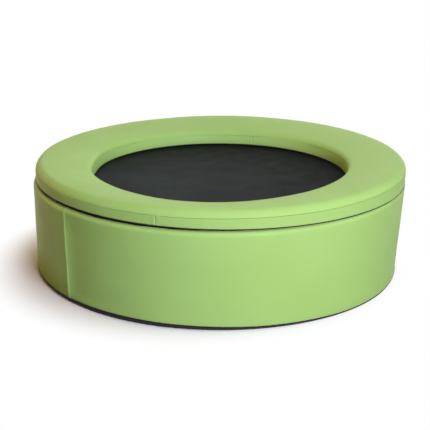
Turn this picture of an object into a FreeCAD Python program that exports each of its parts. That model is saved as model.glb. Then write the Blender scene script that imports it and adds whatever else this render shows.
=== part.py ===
# Soft-play trampoline. A black mat hangs by springs in a steel ring on six legs, a tall
# foam base covered in vinyl stands round it, and a foam lid lies over the springs.
# Millimetres, +Z up, origin on the floor below the middle of the mat, front towards -Y.
import FreeCAD, Part
import math
import os
import re

import Sketcher
from FreeCAD import Placement, Rotation, Vector

# Driving dimensions: name, value, what it measures. Angles are in degrees.
SIZES = (
    ("base_radius", 650, "outer face of the foam base"),
    ("base_height", 315, "top of the foam base above the floor"),
    ("base_wall", 50, "wall of the foam base, both vinyl faces included"),
    ("base_bend", 12, "rounding of the base's top edge"),
    ("base_fold", 16, "width of the side panel folded over the base's top"),
    ("vinyl", 1, "thickness of the vinyl panels"),
    ("grip_sheet", 2, "thickness of the non-slip sheet under the base"),
    ("grip_wrap", 12, "height to which the non-slip sheet wraps up the side"),
    ("grip_bend", 8, "size of the slant at the base's bottom edge"),
    ("lid_setback", 8, "how far the lid's edge lies inside the base's"),
    ("lid_gap", 3, "gap between base and lid, filled by the fastening pads"),
    ("lid_thickness", 66, "lid at its outer edge"),
    ("lid_band", 37, "height of the outer band below the top panel"),
    ("lid_corner", 26, "rounding of the lid's outer top edge"),
    ("lid_inner_corner", 16, "rounding of the lid's inner top edge"),
    ("lid_inner_fold", 18, "height of the top panel's fold into the opening"),
    ("lid_crown", 600, "radius of the lid's crowned top in section"),
    ("lid_wall", 54, "height of the wall of the opening"),
    ("lid_lip", 18, "width of the strip of lid that lies on the mat"),
    ("lid_heel", 5, "rounding of the lid's bottom edges"),
    ("lid_hem", 8, "height to which the underside panel wraps up the bands"),
    ("lid_rest", 0.5, "clearance of the lid's lip over the mat"),
    ("pad_thickness", 1.4, "thickness of a hook pad or a loop pad"),
    ("pad_width", 28, "radial width of the pads"),
    ("pad_inset", 4, "pads' inner edge outwards from the base's lining"),
    ("pad_angle", 9, "angle that each pad spans"),
    ("zip_tape", 18, "width of a zip's tape"),
    ("zip_tape_sheet", 0.6, "thickness of a zip's tape"),
    ("zip_teeth", 6, "width of a zip's row of teeth"),
    ("zip_teeth_rise", 1.5, "height of the teeth above the tape"),
    ("zip_angle", 200, "angle that each zip spans"),
    ("zip_height", 45, "middle of the base's zip above the floor"),
    ("zip_inset", 12, "middle of the lid's zip inwards from the base's lining"),
    ("slider_fit", 0.3, "clearance between a slider and its teeth and tape"),
    ("slider_wall", 2, "wall of a slider"),
    ("slider_angle", 2.4, "angle that a slider spans, about 25 mm"),
    ("bridge_height", 1.6, "height of the small bridge on a slider"),
    ("bridge_width", 3, "width of that bridge"),
    ("bridge_angle", 1.2, "angle that the bridge spans"),
    ("ring_clearance", 8, "gap between the steel ring and the base's lining"),
    ("tube_clearance", 6, "gap between the steel ring and the lid"),
    ("tube_diameter", 32, "tube of the ring, outside"),
    ("tube_wall", 1.5, "wall of the ring's tube and of its spigots"),
    ("spigot_length", 40, "how far a spigot reaches into the next tube"),
    ("spigot_fit", 0.2, "clearance round a spigot"),
    ("shoulder_length", 3, "length of the necked-down end before a spigot"),
    ("leg_diameter", 25, "leg tube, outside"),
    ("leg_wall", 1.5, "wall of the leg tube"),
    ("leg_fit", 0.3, "clearance between a leg and its socket"),
    ("leg_top_gap", 6, "gap between a leg's top and the ring above it"),
    ("socket_wall", 1.7, "wall of the socket welded under the ring"),
    ("socket_drop", 50, "length of the socket below the ring"),
    ("foot_height", 30, "rubber foot"),
    ("foot_floor", 3, "rubber under the leg's end"),
    ("foot_wall", 3, "rubber round the leg"),
    ("foot_fit", 0.1, "clearance between a leg and its foot"),
    ("bolt_diameter", 6, "bolt through a leg and its socket"),
    ("bolt_fit", 0.2, "clearance round the bolts and screws"),
    ("bolt_end", 2, "end of a bolt past its nut"),
    ("bolt_head", 11, "diameter of a bolt's head"),
    ("bolt_head_depth", 3.5, "height of a bolt's head"),
    ("nut_width", 10, "nut across its flats"),
    ("nut_depth", 5, "thickness of a nut"),
    ("screw_diameter", 4.2, "screw that locks a spigot"),
    ("screw_head", 8, "diameter of a screw's head"),
    ("screw_head_depth", 2.6, "height of a screw's head"),
    ("screw_length", 10, "length of a screw under its head"),
    ("spring_reach", 76, "from the ring's inside to the mat's edge"),
    ("spring_diameter", 12, "coil of a spring, outside"),
    ("spring_wire", 2.6, "wire of a spring"),
    ("spring_hook", 6.5, "length of a spring's inner hook"),
    ("spring_tail", 13, "length of a spring's outer hook outside the ring"),
    ("hook_depth", 4, "how far a spring's outer hook reaches into the ring"),
    ("hook_fit", 0.35, "clearance round a hook in its hole"),
    ("mat_cover", 29, "strip of mat that the lid covers"),
    ("mat_thickness", 1.5, "woven mat"),
    ("tape_thickness", 1.5, "webbing sewn under the mat's edge"),
    ("tape_width", 32, "width of that webbing"),
    ("loop_thickness", 4, "webbing loop folded round a mat ring"),
    ("loop_width", 11, "width of a webbing loop"),
    ("loop_length", 20, "length of a webbing loop"),
    ("loop_reach", 6, "how far a loop stands out past the mat's edge"),
    ("mat_ring_wire", 3, "wire of a mat ring"),
    ("mat_ring_fit", 0.2, "clearance between a mat ring and its loop"),
    ("mat_ring_inset", 2, "from the mat's edge out to the mat ring's base"),
    ("mat_ring_length", 18, "from the mat ring's base to its tip"),
    ("mat_ring_width", 20, "mat ring's base"),
    ("mat_ring_bend", 2.5, "radius of the bend at a mat ring's tip"),
    ("mat_ring_turn", 65, "half the angle of that bend"),
    ("mat_ring_gap", 0.3, "clearance between a mat ring and its spring"),
)

# Places that follow from the driving dimensions
DERIVED = {
    "lining_radius": "base_radius - base_wall",
    "fold_radius": "base_radius - base_fold",
    "grip_mitre": "grip_sheet * tan(22.5 deg)",
    "lid_radius": "base_radius - lid_setback",
    "lid_bottom": "base_height + lid_gap",
    "lid_top": "lid_bottom + lid_thickness",
    "band_top": "lid_bottom + lid_band",
    "lid_rounding": "min(lid_corner; lid_thickness - lid_band - vinyl)",
    "tube_radius": "tube_diameter / 2",
    "bore_radius": "tube_radius - tube_wall",
    "ring_radius": "lining_radius - ring_clearance - tube_radius",
    "ring_inside": "ring_radius - tube_radius",
    "ring_height": "lid_bottom - tube_clearance - tube_radius",
    "mat_radius": "ring_inside - spring_reach",
    "loop_top": "ring_height + loop_thickness / 2",
    "tape_top": "loop_top + tape_thickness",
    "mat_top": "tape_top + mat_thickness",
    "opening_radius": "mat_radius - mat_cover",
    "lip_radius": "opening_radius + lid_lip",
    "lip_bottom": "mat_top + lid_rest",
    "wall_top": "lip_bottom + lid_wall",
    "inner_seam": "wall_top - lid_inner_fold",
    "socket_radius": "leg_diameter / 2 + leg_fit + socket_wall",
    "socket_bottom": "ring_height - tube_radius - socket_drop",
    "leg_top": "ring_height - tube_radius - leg_top_gap",
    "bolt_height": "socket_bottom + socket_drop / 2",
    "spigot_radius": "bore_radius - spigot_fit",
    "spigot_angle": "spigot_length / ring_radius * 180 / pi",
    "hole_radius": "bolt_diameter / 2 + bolt_fit / 2",
    "mat_ring_base": "mat_radius + mat_ring_inset",
    "mat_ring_tip": "mat_ring_base + mat_ring_length",
    "hook_start": "mat_ring_tip + mat_ring_wire / 2 + mat_ring_gap",
    "pad_radius": "lining_radius + pad_inset",
    "lid_zip_radius": "lining_radius - zip_inset",
    "cavity": "zip_teeth / 2 + slider_fit",
    "slider_depth": "zip_tape_sheet + zip_teeth_rise + slider_fit",
}

TUBES = 6
SPRINGS_PER_TUBE = 6
SPRINGS = TUBES * SPRINGS_PER_TUBE
PADS = 6
TUBE_ANGLE = 360 / TUBES
SPRING_ANGLE = 360 / SPRINGS

# A tube runs from one place midway between two springs to another, past its leg
SPRINGS_AFTER_LEG = SPRINGS_PER_TUBE // 2
SPRINGS_BEFORE_LEG = SPRINGS_PER_TUBE - SPRINGS_AFTER_LEG - 1
ANGLE_AFTER_LEG = (SPRINGS_AFTER_LEG + 0.5) * SPRING_ANGLE
ANGLE_BEFORE_LEG = (SPRINGS_BEFORE_LEG + 0.5) * SPRING_ANGLE

BASE_SEAM = 41
LID_SEAM = 72.5
ZIP_START = -10
ZIP_END_STOP = 1
HEXAGON_CORNERS = range(0, 360, 60)
THROUGH_ALL = 1
LEAST_CUT = 0.01
SAME_PLACE = 1e-4
NEARLY_UPRIGHT = 0.99

doc = FreeCAD.newDocument("Trampoline")
sheet = doc.addObject("Spreadsheet::Sheet", "Sizes")
for row, (alias, value, meaning) in enumerate(SIZES, 1):
    sheet.set(f"A{row}", alias)
    sheet.set(f"B{row}", str(value))
    sheet.set(f"C{row}", meaning)
    sheet.setAlias(f"B{row}", alias)
doc.recompute()
ALIASES = {alias for alias, _, _ in SIZES}


def formula(text):
    """The sheet's expression for a size, with every derived place written out."""
    def spell(match):
        word = match.group(0)
        if word in DERIVED:
            return f"({formula(DERIVED[word])})"
        return f"Sizes.{word}" if word in ALIASES else word
    return re.sub(r"[a-z_]+", spell, text)


def size(text):
    """The value of an expression, for where a sketch starts from."""
    return float(sheet.evalExpression(formula(text)))


def sub_part(label, turned=0):
    """A new sub-part, turned about the vertical axis."""
    body = doc.addObject("PartDesign::Body", label)
    body.Placement = Placement(Vector(), Rotation(Vector(0, 0, 1), turned))
    return body


def origin_feature(body, role):
    """One of a sub-part's own origin planes or axes."""
    return next(item for item in body.Origin.OriginFeatures if item.Role == role)


def sketch_on(body, role, raised=None, turned=None):
    """A sketch on an origin plane, raised along its normal or turned about its upright."""
    sketch = body.newObject("Sketcher::SketchObject", "Sketch")
    sketch.AttachmentSupport = [(origin_feature(body, role), "")]
    sketch.MapMode = "FlatFace"
    if raised:
        sketch.setExpression("AttachmentOffset.Base.z", formula(raised))
    if turned is not None:
        sketch.AttachmentOffset = Placement(Vector(), Rotation(Vector(0, 1, 0), turned))
    return sketch


def fix_point(sketch, geometry, vertex, across, up):
    """Hold a point of a sketch at its distances from the origin."""
    for kind, axis, text in (("DistanceX", -2, across), ("DistanceY", -1, up)):
        if text == "0":
            sketch.addConstraint(Sketcher.Constraint("PointOnObject", geometry, vertex, axis))
            continue
        value = size(text)
        if value > 0:
            ends = (-1, 1, geometry, vertex)
            held = formula(text)
        else:
            ends = (geometry, vertex, -1, 1)
            held = f"-({formula(text)})"
        index = sketch.addConstraint(Sketcher.Constraint(kind, *ends, abs(value)))
        sketch.setExpression(f"Constraints[{index}]", held)


def fix_radius(sketch, geometry, text):
    """Hold the radius of a circle or an arc."""
    index = sketch.addConstraint(Sketcher.Constraint("Radius", geometry, size(text)))
    sketch.setExpression(f"Constraints[{index}]", formula(text))


def circle(sketch, across, up, radius):
    """A circle by its centre and radius."""
    centre = Vector(size(across), size(up), 0)
    geometry = sketch.addGeometry(Part.Circle(centre, Vector(0, 0, 1), size(radius)))
    fix_point(sketch, geometry, 3, across, up)
    fix_radius(sketch, geometry, radius)


def arc(start, end, radius):
    """The short arc that bulges to the left of its chord, for a positive radius, or to
    the right, for a negative one. It runs anticlockwise, so from end to start on the left."""
    chord = end - start
    left = Vector(-chord.y, chord.x, 0).normalize()
    depth = (radius ** 2 - (chord.Length / 2) ** 2) ** 0.5
    centre = (start + end) * 0.5 - left * (depth if radius > 0 else -depth)
    ends = (end, start) if radius > 0 else (start, end)
    angles = [math.atan2(point.y - centre.y, point.x - centre.x) for point in ends]
    return Part.ArcOfCircle(Part.Circle(centre, Vector(0, 0, 1), abs(radius)), *angles)


def outline(sketch, corners):
    """A closed outline. A corner is (across, up), or (across, up, radius) where an arc
    and not a line leads on from it: a radius written with a minus bulges to the right."""
    points = [Vector(size(corner[0]), size(corner[1]), 0) for corner in corners]
    starts = []
    ends = []
    for index, corner in enumerate(corners):
        start, end = points[index], points[(index + 1) % len(points)]
        if len(corner) == 2:
            geometry = sketch.addGeometry(Part.LineSegment(start, end))
        else:
            geometry = sketch.addGeometry(arc(start, end, size(corner[2])))
            fix_radius(sketch, geometry, corner[2].lstrip("-"))
        forwards = len(corner) == 2 or corner[2].startswith("-")
        starts.append((geometry, 1 if forwards else 2))
        ends.append((geometry, 2 if forwards else 1))
    for index, corner in enumerate(corners):
        sketch.addConstraint(Sketcher.Constraint("Coincident", *ends[index - 1], *starts[index]))
        fix_point(sketch, *starts[index], corner[0], corner[1])


def solid_of(body, kind, sketch, **sizes):
    """A PartDesign feature of a sketch. Text is a size, and anything else is set as it is."""
    feature = body.newObject(f"PartDesign::{kind}", kind)
    feature.Profile = sketch
    if kind in ("Revolution", "Groove"):
        feature.ReferenceAxis = (sketch, ["V_Axis"])
        if "Angle2" in sizes:
            feature.Type = "TwoAngles"
    for name, value in sizes.items():
        if isinstance(value, str):
            feature.setExpression(name, formula(value))
        else:
            setattr(feature, name, value)
    return feature


def cut(body, kind, sketch, **sizes):
    """A Pocket or a Groove, which has to take something away."""
    doc.recompute()
    before = body.Shape.Volume
    feature = solid_of(body, kind, sketch, **sizes)
    doc.recompute()
    if body.Shape.Volume > before - LEAST_CUT:
        raise RuntimeError(f"{body.Label}: a {kind} cuts nothing")
    return feature


def repeat(body, features, count, angle=360.0, backwards=False):
    """Features repeated round the vertical axis."""
    pattern = body.newObject("PartDesign::PolarPattern", "PolarPattern")
    pattern.Originals = features
    pattern.Axis = (origin_feature(body, "Z_Axis"), [""])
    pattern.Angle = angle
    pattern.Occurrences = count
    pattern.Reversed = backwards
    body.Tip = pattern


def round_rim(body, radius, up, rounding):
    """Round the circular edge at a radius and a height. In a folded sheet the inside of
    the fold comes first, so that the outside keeps a wall behind it."""
    doc.recompute()
    base = body.Tip
    rim = (size(radius), size(up))
    names = []
    for number, edge in enumerate(base.Shape.Edges, 1):
        if not isinstance(edge.Curve, Part.Circle) or abs(edge.Curve.Axis.z) < NEARLY_UPRIGHT:
            continue
        if max(abs(edge.Curve.Radius - rim[0]), abs(edge.Curve.Center.z - rim[1])) < SAME_PLACE:
            names.append(f"Edge{number}")
    if not names:
        raise RuntimeError(f"{body.Label}: no rim at {rim}")
    fillet = body.newObject("PartDesign::Fillet", "Fillet")
    fillet.Base = (base, names)
    fillet.setExpression("Radius", formula(rounding))


def turned_part(label, corners, turned=0, angle=360.0):
    """A sub-part made by turning an outline about the vertical axis."""
    body = sub_part(label, turned)
    sketch = sketch_on(body, "XZ_Plane")
    outline(sketch, corners)
    solid_of(body, "Revolution", sketch, Angle=angle)
    return body


def block(inside, outside, low, high):
    """The corners of a rectangular section."""
    return [(inside, low), (outside, low), (outside, high), (inside, high)]


# The foam base and its vinyl cover

def base_foam(label, turned):
    """Half of the foam ring, bent from sheet foam and cut at two butt joints."""
    body = turned_part(label, [
        ("lining_radius + vinyl", "grip_sheet"),
        ("base_radius - grip_bend - grip_mitre", "grip_sheet"),
        ("base_radius - grip_sheet", "grip_bend + grip_mitre"),
        ("base_radius - grip_sheet", "grip_wrap"),
        ("base_radius - vinyl", "grip_wrap"),
        ("base_radius - vinyl", "base_height - vinyl"),
        ("lining_radius + vinyl", "base_height - vinyl"),
    ], turned, 180.0)
    round_rim(body, "base_radius - vinyl", "base_height - vinyl", "base_bend - vinyl")


def base_cover_side():
    """The tall outer panel, folded over the base's top edge."""
    body = turned_part("base_cover_side", [
        ("base_radius - vinyl", "grip_wrap"),
        ("base_radius", "grip_wrap"),
        ("base_radius", "base_height"),
        ("fold_radius", "base_height"),
        ("fold_radius", "base_height - vinyl"),
        ("base_radius - vinyl", "base_height - vinyl"),
    ])
    round_rim(body, "base_radius - vinyl", "base_height - vinyl", "base_bend - vinyl")
    round_rim(body, "base_radius", "base_height", "base_bend")


def base_cover_bottom():
    """The dark non-slip sheet under the base, wrapped a little way up its side."""
    turned_part("base_cover_bottom", [
        ("lining_radius", "0"),
        ("base_radius - grip_bend", "0"),
        ("base_radius", "grip_bend"),
        ("base_radius", "grip_wrap"),
        ("base_radius - grip_sheet", "grip_wrap"),
        ("base_radius - grip_sheet", "grip_bend + grip_mitre"),
        ("base_radius - grip_bend - grip_mitre", "grip_sheet"),
        ("lining_radius", "grip_sheet"),
    ])


def base():
    """The foam ring with its cover, zip and fastening pads."""
    base_foam("base_foam_back", BASE_SEAM)
    base_foam("base_foam_front", BASE_SEAM + 180)
    base_cover_side()
    base_cover_bottom()
    turned_part("base_cover_top",
                block("lining_radius", "fold_radius", "base_height - vinyl", "base_height"))
    turned_part("base_cover_lining",
                block("lining_radius", "lining_radius + vinyl", "grip_sheet",
                      "base_height - vinyl"))
    fastening_pads("base_hook_pads", "base_height", "base_height + pad_thickness")
    turned_part("base_zip", [
        ("lining_radius", "zip_height - zip_tape / 2"),
        ("lining_radius", "zip_height + zip_tape / 2"),
        ("lining_radius - zip_tape_sheet", "zip_height + zip_tape / 2"),
        ("lining_radius - zip_tape_sheet", "zip_height + zip_teeth / 2"),
        ("lining_radius - zip_tape_sheet - zip_teeth_rise", "zip_height + zip_teeth / 2"),
        ("lining_radius - zip_tape_sheet - zip_teeth_rise", "zip_height - zip_teeth / 2"),
        ("lining_radius - zip_tape_sheet", "zip_height - zip_teeth / 2"),
        ("lining_radius - zip_tape_sheet", "zip_height - zip_tape / 2"),
    ], ZIP_START, "zip_angle")
    base_zip_slider()


def base_zip_slider():
    """A slider without a pull that rides on the teeth of the base's zip, on the lining."""
    flange = "lining_radius - zip_tape_sheet - slider_fit"
    body = turned_part("base_zip_slider", [
        (flange, "zip_height - cavity - slider_wall"),
        (flange, "zip_height - cavity"),
        ("lining_radius - slider_depth", "zip_height - cavity"),
        ("lining_radius - slider_depth", "zip_height + cavity"),
        (flange, "zip_height + cavity"),
        (flange, "zip_height + cavity + slider_wall"),
        ("lining_radius - slider_depth - slider_wall", "zip_height + cavity + slider_wall"),
        ("lining_radius - slider_depth - slider_wall", "zip_height - cavity - slider_wall"),
    ], ZIP_START + ZIP_END_STOP, "slider_angle")
    bridge = sketch_on(body, "XZ_Plane")
    outline(bridge, block("lining_radius - slider_depth - slider_wall - bridge_height",
                          "lining_radius - slider_depth - slider_wall",
                          "zip_height - bridge_width / 2", "zip_height + bridge_width / 2"))
    solid_of(body, "Revolution", bridge, Angle="bridge_angle")


def fastening_pads(label, low, high):
    """Hook or loop pads between the base and the lid, evenly round the rim."""
    body = sub_part(label, TUBE_ANGLE / 2)
    sketch = sketch_on(body, "XZ_Plane")
    outline(sketch, block("pad_radius", "pad_radius + pad_width", low, high))
    pad = solid_of(body, "Revolution", sketch, Angle="pad_angle", Midplane=True)
    repeat(body, [pad], PADS)


# The foam lid and its vinyl cover

def lid_foam(label, turned):
    """Half of the lid's foam: crowned on top, thinner inside, where it lies on the mat."""
    body = turned_part(label, [
        ("opening_radius + vinyl", "lip_bottom + vinyl"),
        ("lip_radius", "lip_bottom + vinyl"),
        ("ring_inside", "lid_bottom + vinyl"),
        ("lid_radius - vinyl", "lid_bottom + vinyl"),
        ("lid_radius - vinyl", "lid_top - vinyl", "-lid_crown"),
        ("opening_radius + vinyl", "wall_top - vinyl"),
    ], turned, 180.0)
    round_rim(body, "lid_radius - vinyl", "lid_top - vinyl", "lid_rounding - vinyl")
    round_rim(body, "opening_radius + vinyl", "wall_top - vinyl", "lid_inner_corner - vinyl")
    round_rim(body, "lid_radius - vinyl", "lid_bottom + vinyl", "lid_heel - vinyl")
    round_rim(body, "opening_radius + vinyl", "lip_bottom + vinyl", "lid_heel - vinyl")


def lid_cover_top():
    """The crowned top panel, folded down over both edges to its seams."""
    body = turned_part("lid_cover_top", [
        ("lid_radius", "band_top"),
        ("lid_radius", "lid_top", "-lid_crown"),
        ("opening_radius", "wall_top"),
        ("opening_radius", "inner_seam"),
        ("opening_radius + vinyl", "inner_seam"),
        ("opening_radius + vinyl", "wall_top - vinyl", "lid_crown"),
        ("lid_radius - vinyl", "lid_top - vinyl"),
        ("lid_radius - vinyl", "band_top"),
    ])
    round_rim(body, "lid_radius - vinyl", "lid_top - vinyl", "lid_rounding - vinyl")
    round_rim(body, "opening_radius + vinyl", "wall_top - vinyl", "lid_inner_corner - vinyl")
    round_rim(body, "lid_radius", "lid_top", "lid_rounding")
    round_rim(body, "opening_radius", "wall_top", "lid_inner_corner")


def lid_cover_bottom():
    """The underside panel: flat over the base and the steel ring, then down to the mat."""
    body = turned_part("lid_cover_bottom", [
        ("lid_radius", "lid_bottom + lid_hem"),
        ("lid_radius", "lid_bottom"),
        ("ring_inside", "lid_bottom"),
        ("lip_radius", "lip_bottom"),
        ("opening_radius", "lip_bottom"),
        ("opening_radius", "lip_bottom + lid_hem"),
        ("opening_radius + vinyl", "lip_bottom + lid_hem"),
        ("opening_radius + vinyl", "lip_bottom + vinyl"),
        ("lip_radius", "lip_bottom + vinyl"),
        ("ring_inside", "lid_bottom + vinyl"),
        ("lid_radius - vinyl", "lid_bottom + vinyl"),
        ("lid_radius - vinyl", "lid_bottom + lid_hem"),
    ])
    round_rim(body, "lid_radius - vinyl", "lid_bottom + vinyl", "lid_heel - vinyl")
    round_rim(body, "opening_radius + vinyl", "lip_bottom + vinyl", "lid_heel - vinyl")
    round_rim(body, "lid_radius", "lid_bottom", "lid_heel")
    round_rim(body, "opening_radius", "lip_bottom", "lid_heel")


def lid():
    """The ring-shaped pad over the springs, with its cover, zip and fastening pads."""
    lid_foam("lid_foam_left", LID_SEAM)
    lid_foam("lid_foam_right", LID_SEAM + 180)
    lid_cover_top()
    lid_cover_bottom()
    turned_part("lid_cover_outer_band",
                block("lid_radius - vinyl", "lid_radius", "lid_bottom + lid_hem", "band_top"))
    turned_part("lid_cover_inner_band",
                block("opening_radius", "opening_radius + vinyl", "lip_bottom + lid_hem",
                      "inner_seam"))
    fastening_pads("lid_loop_pads", "lid_bottom - pad_thickness", "lid_bottom")
    turned_part("lid_zip", [
        ("lid_zip_radius - zip_tape / 2", "lid_bottom"),
        ("lid_zip_radius - zip_tape / 2", "lid_bottom - zip_tape_sheet"),
        ("lid_zip_radius - zip_teeth / 2", "lid_bottom - zip_tape_sheet"),
        ("lid_zip_radius - zip_teeth / 2", "lid_bottom - zip_tape_sheet - zip_teeth_rise"),
        ("lid_zip_radius + zip_teeth / 2", "lid_bottom - zip_tape_sheet - zip_teeth_rise"),
        ("lid_zip_radius + zip_teeth / 2", "lid_bottom - zip_tape_sheet"),
        ("lid_zip_radius + zip_tape / 2", "lid_bottom - zip_tape_sheet"),
        ("lid_zip_radius + zip_tape / 2", "lid_bottom"),
    ], ZIP_START, "zip_angle")
    lid_zip_slider()


def lid_zip_slider():
    """A slider without a pull that rides on the teeth of the lid's zip, on the underside."""
    flange = "lid_bottom - zip_tape_sheet - slider_fit"
    body = turned_part("lid_zip_slider", [
        ("lid_zip_radius - cavity - slider_wall", flange),
        ("lid_zip_radius - cavity - slider_wall", "lid_bottom - slider_depth - slider_wall"),
        ("lid_zip_radius + cavity + slider_wall", "lid_bottom - slider_depth - slider_wall"),
        ("lid_zip_radius + cavity + slider_wall", flange),
        ("lid_zip_radius + cavity", flange),
        ("lid_zip_radius + cavity", "lid_bottom - slider_depth"),
        ("lid_zip_radius - cavity", "lid_bottom - slider_depth"),
        ("lid_zip_radius - cavity", flange),
    ], ZIP_START + ZIP_END_STOP, "slider_angle")
    bridge = sketch_on(body, "XZ_Plane")
    outline(bridge, block("lid_zip_radius - bridge_width / 2",
                          "lid_zip_radius + bridge_width / 2",
                          "lid_bottom - slider_depth - slider_wall - bridge_height",
                          "lid_bottom - slider_depth - slider_wall"))
    solid_of(body, "Revolution", bridge, Angle="bridge_angle")


# The steel ring and its legs

def on_ring(sketch, joint, radius):
    """A circle in plan on the ring's middle line, where the spigot past a joint between
    two tubes has its middle."""
    angle = f"({joint} + spigot_angle / 2) * 1 deg"
    circle(sketch, f"ring_radius * cos({angle})", f"ring_radius * sin({angle})", radius)


def screw_hole(body, joint):
    """A hole through the lower wall for the screw that locks a joint."""
    sketch = sketch_on(body, "XY_Plane")
    on_ring(sketch, joint, "screw_diameter / 2 + bolt_fit / 2")
    cut(body, "Pocket", sketch, Length="ring_height", Reversed=True)


def bolt_hole(body):
    """A hole for the leg bolt, in the ring's direction, right through an upright tube."""
    sketch = sketch_on(body, "XZ_Plane")
    circle(sketch, "ring_radius", "bolt_height", "hole_radius")
    cut(body, "Pocket", sketch, Type=THROUGH_ALL, Midplane=True)


def ring_tube(number):
    """One arc of the steel ring. Its leg socket is welded on, one end is necked down to a
    spigot for the next arc, and its inner side is drilled for the spring hooks."""
    body = sub_part(f"ring_tube_{number}", (number - 1) * TUBE_ANGLE)
    bar = sketch_on(body, "XZ_Plane")
    circle(bar, "ring_radius", "ring_height", "tube_radius")
    solid_of(body, "Revolution", bar, Angle=ANGLE_AFTER_LEG, Angle2=ANGLE_BEFORE_LEG)
    socket = sketch_on(body, "XY_Plane", "socket_bottom")
    circle(socket, "ring_radius", "0", "socket_radius")
    solid_of(body, "Pad", socket, Length="ring_height - socket_bottom")
    bore = sketch_on(body, "XZ_Plane")
    circle(bore, "ring_radius", "ring_height", "bore_radius")
    cut(body, "Groove", bore, Angle=ANGLE_AFTER_LEG, Angle2=ANGLE_BEFORE_LEG)
    socket_bore = sketch_on(body, "XY_Plane", "socket_bottom")
    circle(socket_bore, "ring_radius", "0", "leg_diameter / 2 + leg_fit")
    cut(body, "Pocket", socket_bore, Length="ring_height - socket_bottom", Reversed=True)
    shoulder = sketch_on(body, "XZ_Plane", turned=ANGLE_AFTER_LEG)
    circle(shoulder, "ring_radius", "ring_height", "tube_radius")
    circle(shoulder, "ring_radius", "ring_height", "spigot_radius - tube_wall")
    solid_of(body, "Revolution", shoulder, Reversed=True,
             Angle="shoulder_length / ring_radius * 180 / pi")
    spigot = sketch_on(body, "XZ_Plane", turned=ANGLE_AFTER_LEG)
    circle(spigot, "ring_radius", "ring_height", "spigot_radius")
    circle(spigot, "ring_radius", "ring_height", "spigot_radius - tube_wall")
    solid_of(body, "Revolution", spigot, Angle="spigot_angle")
    screw_hole(body, ANGLE_AFTER_LEG)
    screw_hole(body, -ANGLE_BEFORE_LEG)
    bolt_hole(body)
    hook_hole = sketch_on(body, "YZ_Plane")
    circle(hook_hole, "0", "ring_height", "spring_wire / 2 + hook_fit")
    hole = cut(body, "Pocket", hook_hole, Length="ring_radius", Reversed=True)
    repeat(body, [hole], SPRINGS_AFTER_LEG + 1, SPRINGS_AFTER_LEG * SPRING_ANGLE)
    repeat(body, [hole], SPRINGS_BEFORE_LEG + 1, SPRINGS_BEFORE_LEG * SPRING_ANGLE, True)


def leg(number):
    """A leg tube, bolted into its socket."""
    body = sub_part(f"leg_{number}", (number - 1) * TUBE_ANGLE)
    sketch = sketch_on(body, "XY_Plane", "foot_floor")
    circle(sketch, "ring_radius", "0", "leg_diameter / 2")
    circle(sketch, "ring_radius", "0", "leg_diameter / 2 - leg_wall")
    solid_of(body, "Pad", sketch, Length="leg_top - foot_floor")
    bolt_hole(body)


def leg_foot(number):
    """A rubber foot pushed over the leg's end."""
    body = sub_part(f"leg_foot_{number}", (number - 1) * TUBE_ANGLE)
    sketch = sketch_on(body, "XY_Plane")
    circle(sketch, "ring_radius", "0", "leg_diameter / 2 + foot_fit + foot_wall")
    solid_of(body, "Pad", sketch, Length="foot_height")
    socket = sketch_on(body, "XY_Plane", "foot_floor")
    circle(socket, "ring_radius", "0", "leg_diameter / 2 + foot_fit")
    cut(body, "Pocket", socket, Length="foot_height - foot_floor", Reversed=True)


def leg_bolts():
    """Bolts through the sockets and legs: a round head on one side, room for the nut on
    the other."""
    body = sub_part("leg_bolts")
    shank = sketch_on(body, "XZ_Plane", "socket_radius")
    circle(shank, "ring_radius", "bolt_height", "bolt_diameter / 2")
    shank = solid_of(body, "Pad", shank, Reversed=True,
                     Length="2 * socket_radius + nut_depth + bolt_end")
    head = sketch_on(body, "XZ_Plane", "socket_radius")
    circle(head, "ring_radius", "bolt_height", "bolt_head / 2")
    head = solid_of(body, "Pad", head, Length="bolt_head_depth")
    repeat(body, [shank, head], TUBES)


def leg_nuts():
    """Hexagon nuts on the leg bolts."""
    body = sub_part("leg_nuts")
    sketch = sketch_on(body, "XZ_Plane", "-socket_radius - nut_depth")
    outline(sketch, [
        (f"ring_radius + nut_width / sqrt(3) * cos({angle} deg)",
         f"bolt_height + nut_width / sqrt(3) * sin({angle} deg)")
        for angle in HEXAGON_CORNERS
    ])
    circle(sketch, "ring_radius", "bolt_height", "hole_radius")
    nut = solid_of(body, "Pad", sketch, Length="nut_depth")
    repeat(body, [nut], TUBES)


def joint_screws():
    """Screws that lock each spigot in the next tube, from below."""
    body = sub_part("joint_screws")
    shank = sketch_on(body, "XY_Plane", "ring_height - tube_radius")
    on_ring(shank, ANGLE_AFTER_LEG, "screw_diameter / 2")
    shank = solid_of(body, "Pad", shank, Length="screw_length")
    head = sketch_on(body, "XY_Plane", "ring_height - tube_radius")
    on_ring(head, ANGLE_AFTER_LEG, "screw_head / 2")
    head = solid_of(body, "Pad", head, Length="screw_head_depth", Reversed=True)
    repeat(body, [shank, head], TUBES)


# The mat and what it hangs by

def springs():
    """The springs, each a coil with a hook at either end, hooked into the ring."""
    body = sub_part("springs")
    hooks = sketch_on(body, "YZ_Plane", "hook_start")
    circle(hooks, "0", "ring_height", "spring_wire / 2")
    hooks = solid_of(body, "Pad", hooks, Length="ring_inside + hook_depth - hook_start")
    coil = sketch_on(body, "YZ_Plane", "hook_start + spring_hook")
    circle(coil, "0", "ring_height", "spring_diameter / 2")
    coil = solid_of(body, "Pad", coil,
                    Length="ring_inside - spring_tail - hook_start - spring_hook")
    repeat(body, [hooks, coil], SPRINGS)


def mat():
    """The woven jumping mat."""
    body = sub_part("mat")
    sketch = sketch_on(body, "XY_Plane", "tape_top")
    circle(sketch, "0", "0", "mat_radius")
    solid_of(body, "Pad", sketch, Length="mat_thickness")


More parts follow.
